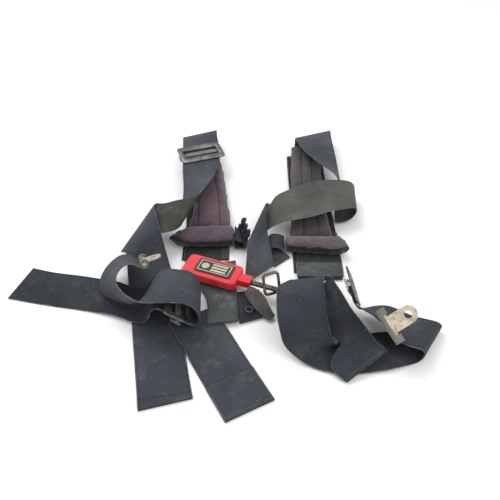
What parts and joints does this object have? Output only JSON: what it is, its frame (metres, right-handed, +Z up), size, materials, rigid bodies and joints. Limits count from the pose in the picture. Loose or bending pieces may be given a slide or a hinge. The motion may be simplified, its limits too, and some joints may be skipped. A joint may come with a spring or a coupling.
{
  "type": "safety harness",
  "caption": "Four-point vehicle safety harness with padded shoulder straps, three-bar slides, lever latch and bolt-on anchor brackets, laid out loosely on a flat surface.",
  "frame": {"origin": "on the surface the harness lies on, under the middle of its bounding box", "axes": "+Z up, +X towards the harness's right half as seen from the free strap ends, +Y towards the shoulder straps' upper ends"},
  "size_m": [0.6801, 0.7101, 0.1062],
  "materials": {
    "webbing": "matte, faded, dusty",
    "panel_webbing": "matte, dusty",
    "left_pad_cloth": "matte, sun-faded",
    "right_pad_cloth": "matte, sun-faded",
    "foam": "open-cell foam",
    "liner": "hook-and-loop",
    "slide_steel": "worn grey plating",
    "bracket_steel": "corroded plating",
    "latch_steel": "worn, browned",
    "dark_wire": "rusted",
    "red_grip": "satin",
    "badge_rubber": "matte",
    "emblem": "matte",
    "black_plastic": "matte",
    "tongue_leatherette": "matte coated cloth"
  },
  "bodies": {
    "webbing": {"chest_buckle": "black_plastic", "chest_strap_left": "webbing", "chest_strap_right": "webbing", "latch_base": "latch_steel", "latch_hinge_pin": "latch_steel", "latch_hook": "dark_wire", "left_adjuster_tail": "webbing", "left_adjuster_tail_hem": "webbing", "left_bracket_loop": "webbing", "left_hip_panel": "panel_webbing", "left_lap_strap": "webbing", "left_lap_tail": "webbing", "left_pad_cuff": "left_pad_cloth", "left_pad_liner": "liner", "left_shoulder_pad_cover": "left_pad_cloth", "left_shoulder_pad_foam": "foam", "left_shoulder_tail": "webbing", "left_shoulder_tail_hem": "webbing", "left_shoulder_webbing": "webbing", "right_adjuster_tail": "webbing", "right_bracket_loop": "webbing", "right_hip_panel": "panel_webbing", "right_lap_strap": "webbing", "right_pad_cuff": "right_pad_cloth", "right_pad_liner": "liner", "right_shoulder_fold": "webbing", "right_shoulder_pad_cover": "right_pad_cloth", "right_shoulder_pad_foam": "foam", "right_shoulder_tail": "webbing", "right_shoulder_webbing": "webbing", "tongue_ring": "black_plastic", "tongue_webbing": "webbing"},
    "left_shoulder_slide": {"left_shoulder_slide_frame": "slide_steel", "left_shoulder_slide_bar": "slide_steel"},
    "left_lap_slide": {"left_lap_slide_frame": "slide_steel", "left_lap_slide_bar": "slide_steel"},
    "right_lap_slide": {"right_lap_slide_frame": "slide_steel", "right_lap_slide_bar": "slide_steel"},
    "latch_lever": {"latch_lever": "latch_steel", "lever_sleeve": "red_grip", "sleeve_badge": "badge_rubber", "badge_emblem": "emblem"},
    "latch_bail": {"latch_bail": "dark_wire"},
    "latch_tongue": {"latch_tongue": "tongue_leatherette"},
    "left_bracket": {"left_bracket": "bracket_steel"},
    "right_bracket": {"right_bracket": "bracket_steel"},
    "chest_prong_left": {"chest_prong_left": "black_plastic"},
    "chest_prong_right": {"chest_prong_right": "black_plastic"}
  },
  "joints": [
    {"name": "left_shoulder_slide_travel", "type": "slide", "parent": "webbing", "child": "left_shoulder_slide", "axis": [-0.0708, 0.9968, 0.0359], "range_m": [-0.008, 0.008]},
    {"name": "left_lap_slide_travel", "type": "slide", "parent": "webbing", "child": "left_lap_slide", "axis": [0.7907, 0.0436, -0.6107], "range_m": [-0.004, 0.001]},
    {"name": "right_lap_slide_travel", "type": "slide", "parent": "webbing", "child": "right_lap_slide", "axis": [-0.245, 0.7971, 0.552], "range_m": [-0.002, 0.006]},
    {"name": "latch_lever_hinge", "type": "hinge", "parent": "webbing", "child": "latch_lever", "pos_m": [0.1028, -0.1322, 0.02227], "axis": [0.3671, 0.9302, 0], "range_deg": [0, 30]},
    {"name": "latch_bail_tilt", "type": "hinge", "parent": "latch_lever", "child": "latch_bail", "pos_m": [0.0838, -0.1247, 0.02227], "axis": [0.9292, 0.3697, 0], "range_deg": [-15, 5]},
    {"name": "latch_tongue_lift", "type": "hinge", "parent": "webbing", "child": "latch_tongue", "pos_m": [0.0433, -0.1282, 0.02227], "axis": [-0.4333, -0.8666, -0.2476], "range_deg": [0, 12]},
    {"name": "left_bracket_swing", "type": "hinge", "parent": "webbing", "child": "left_bracket", "pos_m": [-0.1212, -0.0932, 0.05227], "axis": [-0.2309, 0.8334, -0.5021], "range_deg": [-25, 25]},
    {"name": "right_bracket_swing", "type": "hinge", "parent": "webbing", "child": "right_bracket", "pos_m": [0.2438, -0.2412, 0.06427], "axis": [-0.5134, 0.7111, 0.4804], "range_deg": [-25, 25]},
    {"name": "chest_prong_left_flex", "type": "hinge", "parent": "webbing", "child": "chest_prong_left", "pos_m": [0.03448, 0.02641, 0.02591], "axis": [0.9325, 0.2686, -0.2415], "range_deg": [0, 6], "stiffness_Nm_per_rad": 0.3},
    {"name": "chest_prong_right_flex", "type": "hinge", "parent": "webbing", "child": "chest_prong_right", "pos_m": [0.04172, -0.0015, 0.02281], "axis": [-0.9325, -0.2686, 0.2415], "range_deg": [0, 6], "stiffness_Nm_per_rad": 0.3}
  ],
  "couplings": [
    {"joint": "chest_prong_right_flex", "follows": "chest_prong_left_flex", "ratio": 1}
  ]
}
